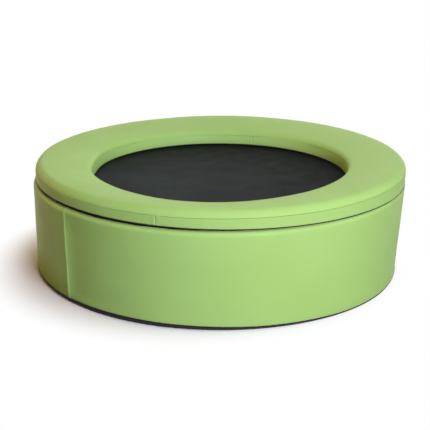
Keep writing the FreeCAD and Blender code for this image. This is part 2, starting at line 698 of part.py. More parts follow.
def mat_edge_tape():
    """Webbing sewn under the mat's edge."""
    body = sub_part("mat_edge_tape")
    sketch = sketch_on(body, "XY_Plane", "loop_top")
    circle(sketch, "0", "0", "mat_radius")
    circle(sketch, "0", "0", "mat_radius - tape_width")
    solid_of(body, "Pad", sketch, Length="tape_thickness")


def mat_loops():
    """Webbing loops sewn to the edge tape, each folded round the base of a mat ring."""
    body = sub_part("mat_loops")
    sketch = sketch_on(body, "XY_Plane", "loop_top - loop_thickness")
    outline(sketch, block("mat_radius + loop_reach - loop_length", "mat_radius + loop_reach",
                          "-loop_width / 2", "loop_width / 2"))
    tab = solid_of(body, "Pad", sketch, Length="loop_thickness")
    hole = sketch_on(body, "XZ_Plane")
    circle(hole, "mat_ring_base", "ring_height", "mat_ring_wire / 2 + mat_ring_fit")
    hole = cut(body, "Pocket", hole, Length="loop_width + 2 * mat_ring_fit", Midplane=True)
    repeat(body, [tab, hole], SPRINGS)


def mat_rings():
    """Triangular wire rings between the loops and the springs."""
    body = sub_part("mat_rings")
    path = sketch_on(body, "XY_Plane", "ring_height")
    bend_start = "mat_ring_tip - mat_ring_bend * (1 - cos(mat_ring_turn * 1 deg))"
    bend_side = "mat_ring_bend * sin(mat_ring_turn * 1 deg)"
    outline(path, [
        ("mat_ring_base", "0"),
        ("mat_ring_base", "mat_ring_width / 2"),
        (bend_start, bend_side, "mat_ring_bend"),
        (bend_start, f"-{bend_side}"),
        ("mat_ring_base", "-mat_ring_width / 2"),
    ])
    wire = sketch_on(body, "XZ_Plane")
    circle(wire, "mat_ring_base", "ring_height", "mat_ring_wire / 2")
    ring = body.newObject("PartDesign::AdditivePipe", "Pipe")
    ring.Profile = wire
    ring.Spine = path
    ring.Transition = "Round corner"
    repeat(body, [ring], SPRINGS)


def trampoline():
    """The steel ring on its legs, and the mat hung in it."""
    for number in range(1, TUBES + 1):
        ring_tube(number)
        leg(number)
        leg_foot(number)
    leg_bolts()
    leg_nuts()
    joint_screws()
    springs()
    mat()
    mat_edge_tape()
    mat_loops()
    mat_rings()


def check(objects):
    """Stop where a feature failed or a sub-part has no sound solid."""
    for item in objects:
        if "Invalid" in item.State or "Error" in item.State:
            raise RuntimeError(f"{item.Label} failed: {item.State}")
    for body in objects:
        if body.isDerivedFrom("PartDesign::Body"):
            if body.Shape.isNull() or not body.Shape.isValid() or not body.Shape.Solids:
                raise RuntimeError(f"{body.Label} has no valid solid")


base()
lid()
trampoline()
doc.recompute()
check(doc.Objects)
os.makedirs("parts", exist_ok=True)
for part in doc.Objects:
    if part.isDerivedFrom("PartDesign::Body"):
        part.Shape.exportStep(f"parts/{part.Label}.step")
        print(part.Label, len(part.Shape.Solids), round(part.Shape.Volume))
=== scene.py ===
import math

import bmesh
import bpy
from mathutils import Matrix, Vector, noise


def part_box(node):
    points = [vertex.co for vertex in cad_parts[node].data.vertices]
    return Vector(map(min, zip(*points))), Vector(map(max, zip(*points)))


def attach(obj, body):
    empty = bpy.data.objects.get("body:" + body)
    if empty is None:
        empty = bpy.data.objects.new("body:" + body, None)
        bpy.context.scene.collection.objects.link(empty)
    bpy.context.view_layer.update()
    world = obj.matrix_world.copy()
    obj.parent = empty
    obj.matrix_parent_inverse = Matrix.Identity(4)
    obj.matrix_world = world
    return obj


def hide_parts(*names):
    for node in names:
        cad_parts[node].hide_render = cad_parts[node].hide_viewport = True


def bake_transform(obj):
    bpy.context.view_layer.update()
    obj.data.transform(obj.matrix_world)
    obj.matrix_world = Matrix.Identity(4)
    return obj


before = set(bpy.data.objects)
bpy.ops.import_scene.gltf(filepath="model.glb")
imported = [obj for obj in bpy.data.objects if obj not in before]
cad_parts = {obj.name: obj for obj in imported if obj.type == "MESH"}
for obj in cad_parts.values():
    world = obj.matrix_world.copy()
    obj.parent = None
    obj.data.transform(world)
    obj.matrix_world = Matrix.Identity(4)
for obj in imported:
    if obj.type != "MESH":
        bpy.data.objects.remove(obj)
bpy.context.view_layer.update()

MM = 0.001
UP = Vector((0, 0, 1))
ORIGIN = Vector()


def low(node):
    """The lowest corner of a node's box."""
    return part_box(node)[0]


def high(node):
    """The highest corner of a node's box."""
    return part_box(node)[1]


# Thicknesses, rounding and seams of the covers
VINYL = 1 * MM
GRIP_SHEET = 2 * MM
BASE_BEND = 15 * MM
GRIP_BEND = 8 * MM
LID_CORNER = 25 * MM
RIM_STEP = 0.5 * MM  # how far the lid's top stands back at the seam of its rim
RIM_LEAN = 6.2 * MM  # and how far the rim leans in above it
RIM_WEAR = 5 * MM
LID_INNER_CORNER = 16 * MM
LID_INNER_FOLD = 18 * MM
LID_CROWN = 7.5 * MM
LID_LIP = 18 * MM
LID_HEEL = 2.1 * MM
LID_HEM = 3.4 * MM
SEAM_TURN = 0.9 * MM
SEAM_DEPTH = 4 * MM
SEAM_GAP = 0.35 * MM
RIM_SEAM_GAP = 0.22 * MM
INNER_SEAM_GAP = 0.12 * MM
INNER_SEAM_TURN = 0.4 * MM
FOAM_CLEARANCE = 4 * MM

# Places, read from the frame
BASE_RADIUS = high("base_cover_side").x
BASE_TOP = high("base_cover_side").z
GRIP_TOP = high("base_cover_bottom").z
LINING = high("base_cover_lining").x - VINYL
FOLD = high("base_cover_top").x
LID_RADIUS = high("lid_cover_outer_band").x
LID_BOTTOM = high("lid_loop_pads").z
LID_TOP = high("lid_cover_top").z - RIM_WEAR
BAND_TOP = high("lid_cover_outer_band").z
OPENING = high("lid_cover_inner_band").x - VINYL
INNER_SEAM = high("lid_cover_inner_band").z
WALL_TOP = INNER_SEAM + LID_INNER_FOLD
LIP_BOTTOM = low("lid_cover_bottom").z
RING_RADIUS = (low("leg_1").x + high("leg_1").x) / 2
RING_HEIGHT = (low("mat_rings").z + high("mat_rings").z) / 2
TUBE_RADIUS = high("ring_tube_1").z - RING_HEIGHT
RING_INSIDE = RING_RADIUS - TUBE_RADIUS
MAT_RADIUS = high("mat").x
MAT_TOP = high("mat").z
MAT_BOTTOM = low("mat").z
TAPE_BOTTOM = low("mat_edge_tape").z
ZIP_HEIGHT = (low("base_zip").z + high("base_zip").z) / 2

# The fastenings, with the stretch of the circle that a zip or a pad takes, in degrees
LID_ZIP = LINING - 12 * MM
ZIP_START, ZIP_ANGLE = -10, 200
ZIP_TAPE = 18 * MM
ZIP_SHEET = 0.6 * MM
ZIP_RISE = 1.4 * MM
ZIP_PITCH = 3 * MM
ZIP_GAP = 0.3 * MM
TOOTH_ASIDE = 0.9 * MM
TOOTH_SIZE = (ZIP_PITCH * 0.46, 4.2 * MM, ZIP_RISE)
PADS = 6
PAD_ANGLE = 9
PAD_INSIDE = LINING + 4 * MM
PAD_WIDTH = 28 * MM
PAD_HEM = 3 * MM
PAD_STITCH = 4 * MM

# Steps round the circle, of a turned panel and of a half of foam
AROUND = 720
FOAM_AROUND = 240

# Seams, as degrees round from +X
BASE_SEAM = 221.6
BAND_SEAMS = (72.9, 252.9)

# A seam where the two ends of a band meet: how far it shows, its groove, the rolls beside
# it, its puckers and the step of a lapped end
JOINT_REACH = 34 * MM
GROOVE_WIDTH = 1.6 * MM
ROLL_RISE = 0.6 * MM
ROLL_ASIDE = 7 * MM
ROLL_WIDTH = 5 * MM
JOINT_PUCKER = 13 * MM
LAP_STEP = 0.9 * MM

# How vinyl lies over foam: its slow waves, and its puckers along a seam
SLOW_WAVE = 170 * MM
PUCKER_PITCH = 17 * MM
PUCKER_REACH = 26 * MM

# The halves of foam that the covers lie on, and where their butt joints are
LID_FOAM = ["lid_foam_left_half", "lid_foam_right_half"]
BASE_FOAM = ["base_foam_back_half", "base_foam_front_half"]
BASE_FOAM_JOINTS = (41, 221)
LID_FOAM_JOINTS = (72.5, 252.5)

# How the lid and the base have come to lie, each as an amount and a stretch of the circle:
# its middle and its width, in degrees round from +X
WALL_PUSHED = (8 * MM, 177, 13)
WALL_LEANING = (7 * MM, 88, 75)
OPENING_SUNK = (10 * MM, 260, 42)
TOP_WORN = ((3 * MM, 125, 28), (2 * MM, 42, 22))
RIM_LIFTED = (8.5 * MM, 223, 44)
RIM_PRESSED = (6 * MM, 345, 42)
BAND_PULLED = (2.9 * MM, 352, 34)
BASE_DRAWN_IN = (24 * MM, 0, 32)
SIDE_PULLED_DOWN = (7.5 * MM, 332, 50)
# the side pulled up at the front left bares more of the dark grip sheet there: a painted
# contact shadow
SIDE_PULLED_UP_AS_SHADOW = (5 * MM, 230, 42)

# How far that reaches, and the rest of how they lie, with the side panel's seam
LID_SPREAD = 3 * MM
LID_ASIDE = 4 * MM
WALL_LEAN = 3 * MM
WALL_REACH = 150 * MM
RIM_FROM = 612 * MM
BAND_REACH = 30 * MM
SIDE_REACH = 90 * MM
SIDE_OUTSIDE = 40 * MM
SIDE_TWIST = math.radians(0.9)
RIDGE_RISE = 3 * MM
RIDGE_FADE = 40 * MM
RIDGE_LEFT = 130 * MM
RIDGE_RIGHT = 20 * MM
HOLLOW_DEPTH = 4.5 * MM
HOLLOW_AWAY = 45 * MM

# What the mat hangs by
TAPE_WIDTH = 32 * MM
SPRINGS = 36
SPRING_WIRE = 2.6 * MM
SPRING_DIAMETER = 12 * MM
COIL_PITCH = 1.06 * SPRING_WIRE
COIL_STEPS = 14
HOOK_BEND = 3 * MM
RING_WIRE = 3 * MM
RING_BASE = MAT_RADIUS + 2 * MM
RING_TIP = RING_BASE + 18 * MM
RING_HALF = 10 * MM
RING_BEND = 2.5 * MM
LOOP_WIDTH = 11 * MM
LOOP_HALF = 1.9 * MM
LOOP_CLOTH = 1.2 * MM
HEM_ROWS = (4 * MM, 10 * MM, 26 * MM)
MAT_STITCH = 5 * MM

# Thread as it shows: the share of its pitch that a stitch covers, its width and its rise
STITCH_SHARE = 0.8
STITCH_WIDTH = 0.8 * MM
STITCH_RISE = 0.7 * MM

# The studio: the floor, the patch of it that takes the object's shadow, and the lamps
FLOOR_RADIUS = 40
SHADOW_SIDE = (-0.09, -0.02, 0)
SHADOW_FADE = (0.58, 0.76)
LAMP_DISTANCE = 3.5
LAMP_AIM = Vector((0, 0, BASE_TOP * 0.7))

# The camera, fitted to the photograph: in metres and radians, its lens in millimetres
CAMERA_DISTANCE = 3.3549
CAMERA_HEIGHT = 1.2719
CAMERA_PITCH = 0.3219
CAMERA_YAW = -0.0045
CAMERA_ROLL = 0.0009
CAMERA_LENS = 82.23


# Shapes


def rounded(corners, spacing, closed=False):
    """Points along a section. A corner is (across, up) or (across, up, rounding), and no
    two points lie further apart than the spacing."""
    points = [Vector(corner[:2]) for corner in corners]
    path = []
    for index, corner in enumerate(corners):
        point = points[index]
        if len(corner) == 2:
            path.append(point)
            continue
        before = (points[index - 1] - point).normalized()
        after = (points[(index + 1) % len(points)] - point).normalized()
        half = before.angle(after) / 2
        centre = point + (before + after).normalized() * corner[2] / math.sin(half)
        first = point + before * corner[2] / math.tan(half) - centre
        last = point + after * corner[2] / math.tan(half) - centre
        begin = math.atan2(first.y, first.x)
        sweep = (math.atan2(last.y, last.x) - begin + math.pi) % math.tau - math.pi
        steps = max(3, math.ceil(abs(sweep) * corner[2] / (spacing / 2)))
        for step in range(steps + 1):
            angle = begin + sweep * step / steps
            path.append(centre + Vector((math.cos(angle), math.sin(angle))) * corner[2])
    ends = path[1:] + path[:1] if closed else path[1:]
    spaced = [path[0]]
    for start, end in zip(path, ends):
        pieces = max(1, math.ceil((end - start).length / spacing))
        spaced += [start.lerp(end, step / pieces) for step in range(1, pieces + 1)]
    return spaced[:-1] if closed else spaced


def spin(bm, geom, angle, steps, copy):
    """Turns pieces of a mesh round the vertical axis: as copies, or drawn out."""
    bmesh.ops.spin(bm, geom=geom, cent=ORIGIN, axis=UP, dvec=ORIGIN, angle=angle, steps=steps,
                   use_merge=False, use_duplicate=copy, use_normal_flip=False)


def repeat(bm, count, angle):
    """Copies a mesh round the vertical axis, to a count of it through an angle, in two
    rounds: a few side by side, then that group over and over."""
    group = max(size for size in range(1, math.isqrt(count) + 1) if count % size == 0)
    step = angle / count
    for copies, turn in ((group, step), (count // group, step * group)):
        if copies > 1:
            geom = bm.verts[:] + bm.edges[:] + bm.faces[:]
            spin(bm, geom, turn * (copies - 1), copies - 1, True)


def turned(section, inside=None, start=0.0, angle=360.0, around=AROUND, closed=False):
    """A mesh made by turning a section about the vertical axis, from start through angle:
    a short wedge, and then its copies joined edge to edge. The faces of an open section
    are turned away from the point inside, (across, up)."""
    bm = bmesh.new()
    turn = Matrix.Rotation(math.radians(start), 3, "Z")
    verts = [bm.verts.new(turn @ Vector((point.x, 0, point.y))) for point in section]
    edges = [bm.edges.new(pair) for pair in zip(verts, verts[1:])]
    if closed:
        edges.append(bm.edges.new((verts[-1], verts[0])))
    steps = max(1, round(around * angle / 360))
    wedge = min(12, steps)
    wedges = math.ceil(steps / wedge)
    spin(bm, verts + edges, math.radians(angle) / wedges, wedge, False)
    repeat(bm, wedges, math.radians(angle))
    bmesh.ops.remove_doubles(bm, verts=bm.verts, dist=MM / 100)
    if closed and angle < 360:
        bmesh.ops.holes_fill(bm, edges=bm.edges, sides=0)
    if closed:
        bmesh.ops.recalc_face_normals(bm, faces=bm.faces)
    else:
        face_out(bm, inside)
    return bm


def face_out(bm, inside):
    """Turns the faces of an open panel away from a point of the section, (across, up)."""
    bm.normal_update()
    for face in bm.faces:
        middle = face.calc_center_median()
        out = Vector((middle.x, middle.y, 0)).normalized() * inside[0] + UP * inside[1]
        if face.normal.dot(middle - out) < 0:
            face.normal_flip()
    bm.normal_update()


def join(whole, part):
    """Adds a part to a whole mesh."""
    mesh = bpy.data.meshes.new("part")
    part.to_mesh(mesh)
    part.free()
    whole.from_mesh(mesh)
    bpy.data.meshes.remove(mesh)


def around_point(vert):
    """Where a vertex is: its direction round the axis, its radius and its height."""
    flat = Vector((vert.co.x, vert.co.y, 0))
    return flat.normalized(), flat.length, vert.co.z


def share_of(value, start, end):
    """How far a value has come from a start, 0, to an end, 1."""
    return min(1.0, max(0.0, (value - start) / (end - start)))


def falloff(distance, reach):
    """1 at no distance, down smoothly to 0 at the reach."""
    share = min(1.0, abs(distance) / reach)
    return (1 - share) ** 2 * (1 + 2 * share)


def degrees_from(degrees, middle):
    """How far a direction is from another, between -180 and 180 degrees."""
    return (degrees - middle + 180) % 360 - 180


def swell(degrees, amount, middle, width):
    """An amount in the middle of a stretch of the circle, down smoothly to 0 past it."""
    return amount * math.exp(-(degrees_from(degrees, middle) / width) ** 2)


def near_hem(height, foot, hem, reach):
    """1 at a hem, down to 0 at the foot below it and at a reach above it."""
    if height < hem:
        return max(0.0, (height - foot) / (hem - foot))
    return falloff(height - hem, reach)


def settle_lid(bm):
    """The lid as it has come to lie: a little off round, its inner edge sunk at the front
    and pushed in at the left and low down at the back, its top worn soft at the back
    corners, and its outer edge lifted off the base at the left and pressed down at the
    right, where the band's hem is pulled down too."""
    for vert in bm.verts:
        way, radius, height = around_point(vert)
        degrees = math.degrees(math.atan2(way.y, way.x))
        share = share_of(radius, OPENING, LID_RADIUS)
        tall = share_of(height, LID_BOTTOM, WALL_TOP)
        rim = share_of(radius, RIM_FROM, LID_RADIUS)
        inner = falloff(radius - OPENING, WALL_REACH)
        vert.co += way * share * (LID_SPREAD + LID_ASIDE * way.x)
        leaning = WALL_LEAN + swell(degrees, *WALL_LEANING) * (1 - tall)
        vert.co -= way * inner * (swell(degrees, *WALL_PUSHED) + leaning)
        vert.co.z -= swell(degrees, *OPENING_SUNK) * inner * tall
        vert.co.z -= sum(swell(degrees, *worn) for worn in TOP_WORN) * share * tall
        lifted = swell(degrees, *RIM_LIFTED) * rim ** 1.5
        pressed = swell(degrees, *RIM_PRESSED) * rim ** 4
        vert.co.z += (lifted - pressed) * (1 - tall) ** 2
        pulled = swell(degrees, *BAND_PULLED) * rim ** 4
        vert.co.z -= pulled * near_hem(height, LID_BOTTOM, LID_BOTTOM + LID_HEM, BAND_REACH)


def settle_base(bm):
    """The base as it stands: drawn in a little towards the floor on the right, its side
    panel a little twisted, pulled down at the front right and up at the front left, where
    the dark grip sheet below then shows wider as a painted contact shadow, and a soft
    ridge and hollow along the panel's seam."""
    for vert in bm.verts:
        way, radius, height = around_point(vert)
        degrees = math.degrees(math.atan2(way.y, way.x))
        share = share_of(radius, LINING, BASE_RADIUS)
        down = 1 - min(1.0, height / BASE_TOP)
        off = degrees_from(degrees, BASE_SEAM)
        run = abs(off) * math.radians(BASE_RADIUS)
        ridge = RIDGE_RISE * math.exp(-run / (RIDGE_RIGHT if off > 0 else RIDGE_LEFT))
        if off > 0:
            ridge -= HOLLOW_DEPTH * run / HOLLOW_AWAY * math.exp(1 - run / HOLLOW_AWAY)
        ridge *= min(1.0, 4 * down) * min(1.0, height / RIDGE_FADE)
        vert.co -= way * share * (down * swell(degrees, *BASE_DRAWN_IN) - ridge)
        # pulling the side up at the front left shows more dark grip sheet, a painted contact
        # shadow
        pulled = swell(degrees, *SIDE_PULLED_DOWN) - swell(degrees, *SIDE_PULLED_UP_AS_SHADOW)
        pulled *= falloff(radius - BASE_RADIUS, SIDE_OUTSIDE)
        vert.co.z -= pulled * near_hem(height, 0, GRIP_TOP, SIDE_REACH)
        turn = SIDE_TWIST * down
        x, y = vert.co.x, vert.co.y
        vert.co.x = x * math.cos(turn) - y * math.sin(turn)
        vert.co.y = x * math.sin(turn) + y * math.cos(turn)


def rumple(bm, seams, slow=1.0 * MM, pucker=0.55 * MM, seed=0.0):
    """Moves a panel along its normals as vinyl lies over foam: slow waves all over, and
    short puckers that run square away from each seam, (across, up). The edges turned in
    at a seam only move sideways, so that the two panels sewn there don't cross."""
    bm.normal_update()
    moves = []
    for vert in bm.verts:
        way, radius, height = around_point(vert)
        place = Vector((way.x * radius, way.y * radius, height * 1.6 + seed))
        move = slow * noise.noise(place / SLOW_WAVE)
        ring = way * BASE_RADIUS + UP * seed
        wave = noise.noise(ring / PUCKER_PITCH) + 0.6 * noise.noise(ring / (PUCKER_PITCH * 2.3))
        patchy = 0.35 + 0.65 * max(0.0, 0.5 + noise.noise(ring / (PUCKER_PITCH * 9)))
        aways = [math.hypot(radius - across, height - up) for across, up in seams]
        for away in aways:
            move += pucker * wave * patchy * falloff(away, PUCKER_REACH)
        out = vert.normal.copy()
        if min(aways) < SEAM_DEPTH + MM:
            out.z = 0
        moves.append(out * move)
    for vert, move in zip(bm.verts, moves):
        vert.co += move
    bm.normal_update()


def stitch_joint(bm, degrees, depth=1.7 * MM, pucker=0.5 * MM, lap=0.0):
    """A seam across a band where its two ends are sewn together: a narrow groove between
    two soft rolls, with puckers that run away from it. With a lap, one end lies on top of
    the other and stops at the seam in a small step."""
    angle = math.radians(degrees)
    way = Vector((math.cos(angle), math.sin(angle), 0))
    side = UP.cross(way)
    near = 2.2 * math.tau * BASE_RADIUS / AROUND  # two faces each side are cut finer
    crossing = []
    for edge in bm.edges:
        a, b = edge.verts
        if abs(a.co.z - b.co.z) > MM / 100 or a.co.dot(way) < 0:
            continue
        if min(abs(a.co.dot(side)), abs(b.co.dot(side))) > near:
            continue
        if abs((a.co - b.co).dot(side)) > MM:
            crossing.append(edge)
    bmesh.ops.subdivide_edges(bm, edges=crossing, cuts=9, use_grid_fill=True)
    bm.normal_update()
    moves = []
    for vert in bm.verts:
        off = vert.co.dot(side)
        if vert.co.dot(way) < 0 or abs(off) > JOINT_REACH:
            continue
        fade = falloff(off, JOINT_REACH)
        groove = -depth * math.exp(-(off / GROOVE_WIDTH) ** 2)
        roll = ROLL_RISE * math.exp(-((abs(off) - ROLL_ASIDE) / ROLL_WIDTH) ** 2)
        if lap:
            roll = lap * fade / (1 + math.exp(off / LAP_STEP))
        wave = noise.noise(Vector((math.copysign(3, off), 0, vert.co.z / JOINT_PUCKER)))
        moves.append((vert, vert.normal * (groove + roll + pucker * wave * fade)))
    for vert, move in moves:
        vert.co += move
    bm.normal_update()


def piece(name, bm, material, body, node=None, thickness=0.0, sharp=None):
    """Makes an object of a mesh, puts it on its body and lets it stand for its node."""
    mesh = bpy.data.meshes.new(name)
    bm.to_mesh(mesh)
    bm.free()
    mesh.materials.append(material)
    mesh.shade_smooth()
    if sharp:
        mesh.set_sharp_from_angle(angle=math.radians(sharp))
    made = bpy.data.objects.new(name, mesh)
    bpy.context.scene.collection.objects.link(made)
    if thickness:
        solid = made.modifiers.new("thickness", "SOLIDIFY")
        solid.thickness = thickness
        solid.offset = -1
    if body:
        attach(made, body)
    if node:
        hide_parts(node)
    return made


def grain_of_rice(bm, place, along, across, length, width, height):
    """One stitch: a small faceted grain that lies on a surface."""
    out = along.cross(across)
    turn = Matrix((along, across, out)).transposed().to_4x4()
    size = Matrix.Diagonal((length / 2, width / 2, height / 2, 1))
    return bmesh.ops.create_icosphere(bm, subdivisions=1, radius=1,
                                      matrix=Matrix.Translation(place) @ turn @ size)["verts"]


# Materials


def colour(code):
    """The linear colour of an sRGB hex value."""
    parts = [int(code[index:index + 2], 16) / 255 for index in (1, 3, 5)]
    linear = [part / 12.92 if part <= 0.04045 else ((part + 0.055) / 1.055) ** 2.4
              for part in parts]
    return (*linear, 1)


def add(tree, kind, options=None, **inputs):
    """Adds a node with its options, and sets or links its inputs: an input's name is
    written in lower case with _ for a space, or as in_ and its number."""
    made = tree.nodes.new("ShaderNode" + kind)
    for name, value in (options or {}).items():
        setattr(made, name, value)
    named = {socket.name.lower().replace(" ", "_"): socket for socket in reversed(made.inputs)}
    for name, value in inputs.items():
        socket = made.inputs[int(name[3:])] if name.startswith("in_") else named[name]
        if isinstance(value, bpy.types.NodeSocket):
            tree.links.new(value, socket)
        else:
            socket.default_value = value
    return made


def surface(name, first, second, size, **inputs):
    """A material with one shader, whose colour drifts between two over patches of a size,
    and what its patterns need: its tree, the shader and the piece's own coordinates."""
    material = bpy.data.materials.new(name)
    material.use_nodes = True
    tree = material.node_tree
    shader = tree.nodes["Principled BSDF"]
    for key, value in inputs.items():
        shader.inputs[key.replace("_", " ")].default_value = value
    place = add(tree, "TexCoord").outputs["Object"]
    clouds = add(tree, "TexNoise", vector=place, scale=1 / size, detail=2.0)
    share = add(tree, "MapRange", value=clouds.outputs["Fac"], from_min=0.35, from_max=0.65)
    shade = add(tree, "Mix", {"data_type": "RGBA"}, factor=share.outputs["Result"],
                in_6=colour(first), in_7=colour(second))
    tree.links.new(shade.outputs[2], shader.inputs["Base Color"])
    return material, tree, shader, place


def drifting(tree, shader, place, size, least, most):
    """Roughness that drifts between two values over patches of a size."""
    clouds = add(tree, "TexNoise", vector=place, scale=1 / size, detail=3.0)
    share = add(tree, "MapRange", value=clouds.outputs["Fac"], from_min=0.3, from_max=0.7,
                to_min=least, to_max=most)
    tree.links.new(share.outputs["Result"], shader.inputs["Roughness"])


def raised(tree, shader, height, distance, strength, normal=None):
    """Bumps a shader by a height pattern, on top of another one's normal if it is given."""
    inputs = {"normal": normal} if normal else {}
    made = add(tree, "Bump", height=height, distance=distance, strength=strength, **inputs)
    tree.links.new(made.outputs["Normal"], shader.inputs["Normal"])
    return made.outputs["Normal"]


def embossed(tree, shader, place, kind, size, distance, strength, normal=None, **inputs):
    """Bumps a shader by a texture of a size."""
    pattern = add(tree, kind, vector=place, scale=1 / size, **inputs)
    return raised(tree, shader, pattern.outputs[0], distance, strength, normal)


def coated_vinyl(name, first, second):
    """PVC-coated polyester, embossed with a fine leather grain: an even, saturated colour
    with a faint broad shine, kept below a new coating's because the photograph shows none
    of it. The grain of about 1 mm is drawn at 2.4 mm, to show."""
    material, tree, shader, place = surface(name, first, second, 220 * MM, IOR=1.5,
                                            Specular_IOR_Level=0.12)
    drifting(tree, shader, place, 90 * MM, 0.44, 0.54)
    grain = add(tree, "TexVoronoi", {"feature": "SMOOTH_F1"}, vector=place,
                scale=1 / (2.4 * MM), smoothness=0.6, randomness=0.9)
    fine = raised(tree, shader, grain.outputs["Distance"], 0.12 * MM, 0.35)
    embossed(tree, shader, place, "TexNoise", 38 * MM, 1.2 * MM, 0.3, fine, detail=1.5)
    return material


def woven_mat():
    """Black woven polypropylene: flat threads, over and under, with gaps between them that
    swallow most of their shine. Its colour is lighter round a point at the front left of the
    middle and fades to near black towards the rim: partly dust where feet land, partly
    painted light, and painted shade under the lid. The threads of about 1.2 mm are drawn at
    2 mm, to show."""
    material, tree, shader, place = surface("woven_polypropylene", "#1a1e1e", "#232828",
                                            120 * MM, IOR=1.49, Specular_IOR_Level=0.03)
    thread = 2 * MM
    # the mat's own shades, kept near a point at the front left: partly dust, partly painted
    # light
    dust_and_painted_light = shader.inputs["Base Color"].links[0].from_socket
    away = add(tree, "VectorMath", {"operation": "DISTANCE"}, in_0=place,
               in_1=(-0.2, -0.18, MAT_TOP)).outputs["Value"]
    # painted shade: 0 near that point, rising to 1 towards the rim and the back right, where
    # the colour goes near black
    painted_rim_shade = add(tree, "MapRange", {"interpolation_type": "SMOOTHSTEP"}, value=away,
                from_min=0.1, from_max=0.66).outputs["Result"]
    shade = add(tree, "Mix", {"data_type": "RGBA"}, factor=painted_rim_shade, in_6=dust_and_painted_light,
                in_7=colour("#090a0a"))
    tree.links.new(shade.outputs[2], shader.inputs["Base Color"])
    drifting(tree, shader, place, 60 * MM, 0.5, 0.6)
    squares = add(tree, "TexChecker", vector=place, scale=1 / thread)
    warp, weft = [add(tree, "TexWave", {"bands_direction": way}, vector=place,
                      scale=math.pi / 10 / thread).outputs["Fac"] for way in "XY"]
    height = add(tree, "Mix", {"data_type": "FLOAT"}, factor=squares.outputs["Fac"],
                 in_2=warp, in_3=weft)
    raised(tree, shader, height.outputs[0], 0.25 * MM, 0.5)
    return material


def ribbed_webbing(name, first, second):
    """Woven polyester webbing: narrow ribs with a faint crosswise weave."""
    material, tree, shader, place = surface(name, first, second, 15 * MM, Roughness=0.75)
    weave = add(tree, "TexVoronoi", {"distance": "CHEBYCHEV"}, vector=place,
                scale=1 / (1.6 * MM), randomness=0.15)
    raised(tree, shader, weave.outputs["Distance"], 0.3 * MM, 0.7)
    return material


def dotted_grip():
    """A non-slip sheet of dark PVC: matte, with small raised dots 5 mm apart."""
    material, tree, shader, place = surface("dotted_non_slip_pvc", "#1d1714", "#28201b",
                                            60 * MM, Roughness=0.8)
    dots = add(tree, "TexVoronoi", vector=place, scale=1 / (5 * MM), randomness=0.0)
    domes = add(tree, "MapRange", value=dots.outputs["Distance"], from_min=0.42, from_max=0.25)
    raised(tree, shader, domes.outputs["Result"], 0.5 * MM, 0.8)
    return material


def cut_foam():
    """Cut polyurethane foam: pale, dry and open-celled, a little yellowed."""
    material, *kit = surface("cut_polyurethane_foam", "#e6dfc6", "#dacfae", 70 * MM,
                             Roughness=0.95)
    embossed(*kit, "TexVoronoi", 1.8 * MM, 0.6 * MM, 0.6)
    return material


def hook_tape():
    """Hook tape: rows of stiff nylon hooks, dull and bristly."""
    material, *kit = surface("nylon_hook_tape", "#141515", "#232424", 4 * MM, Roughness=0.6)
    embossed(*kit, "TexVoronoi", 1.5 * MM, 0.9 * MM, 1.0, randomness=0.25)
    return material


def loop_tape():
    """Loop tape: a soft brushed pile that scatters light at its edges."""
    material, *kit = surface("brushed_nylon_loop_tape", "#1c1d1d", "#2e2f2f", 6 * MM,
                             Roughness=0.95, Sheen_Weight=0.5, Sheen_Roughness=0.5)
    embossed(*kit, "TexNoise", 1.2 * MM, 0.7 * MM, 0.9, detail=4.0, roughness=0.7)
    return material


def powder_coat(name, first, second):
    """Powder-coated steel: a hard satin skin with a faint orange peel."""
    material, *kit = surface(name, first, second, 40 * MM, IOR=1.5)
    drifting(*kit, 25 * MM, 0.32, 0.42)
    embossed(*kit, "TexNoise", 2.2 * MM, 0.12 * MM, 0.4, detail=1.0)
    return material


def plated_steel(name, first, second, least, most):
    """Zinc-plated steel: pale bluish metal with a cloudy, half-dull shine."""
    material, *kit = surface(name, first, second, 7 * MM, Metallic=1.0)
    drifting(*kit, 4 * MM, least, most)
    embossed(*kit, "TexNoise", 0.8 * MM, 0.05 * MM, 0.3, detail=2.0)
    return material


def moulded_rubber():
    """Moulded rubber: black, matte, slightly bloomed."""
    material, *kit = surface("moulded_rubber", "#191919", "#262524", 12 * MM, IOR=1.52)
    drifting(*kit, 10 * MM, 0.65, 0.8)
    embossed(*kit, "TexNoise", 1.1 * MM, 0.1 * MM, 0.5, detail=3.0)
    return material


def moulded_acetal():
    """Zip teeth, moulded from acetal: dense black plastic with a smooth low shine."""
    material, *kit = surface("moulded_acetal", "#151616", "#1f2020", 5 * MM, IOR=1.48)
    drifting(*kit, 3 * MM, 0.35, 0.5)
    return material


def sewing_thread(name, first, second):
    """Twisted polyester thread: fine, slightly glossy strands."""
    material, *kit = surface(name, first, second, 3 * MM, Roughness=0.55)
    embossed(*kit, "TexNoise", 0.5 * MM, 0.15 * MM, 0.6, detail=2.0)
    return material


GREEN = coated_vinyl("lime_coated_vinyl", "#a6c86f", "#a2c56a")
LINING_GREEN = coated_vinyl("lime_lining_vinyl", "#9dc068", "#97ba62")
MAT_CLOTH = woven_mat()
WEBBING = ribbed_webbing("polyester_webbing", "#151617", "#222324")
ZIP_CLOTH = ribbed_webbing("polyester_zip_tape", "#191a1b", "#252627")
GRIP_AND_PAINTED_SHADE = dotted_grip()
FOAM = cut_foam()
HOOKS = hook_tape()
LOOPS = loop_tape()
RING_PAINT = powder_coat("black_powder_coat", "#17181a", "#1f2022")
LEG_PAINT = powder_coat("black_powder_coated_leg", "#161719", "#1e1f21")
SLIDER_PAINT = powder_coat("painted_die_cast_zinc", "#1b1c1d", "#2b2c2d")
ZINC = plated_steel("zinc_plated_steel", "#c3c8cd", "#a9afb5", 0.28, 0.45)
SPRING_STEEL = plated_steel("galvanised_spring_wire", "#b9bdc0", "#9b9fa3", 0.32, 0.5)
RUBBER = moulded_rubber()
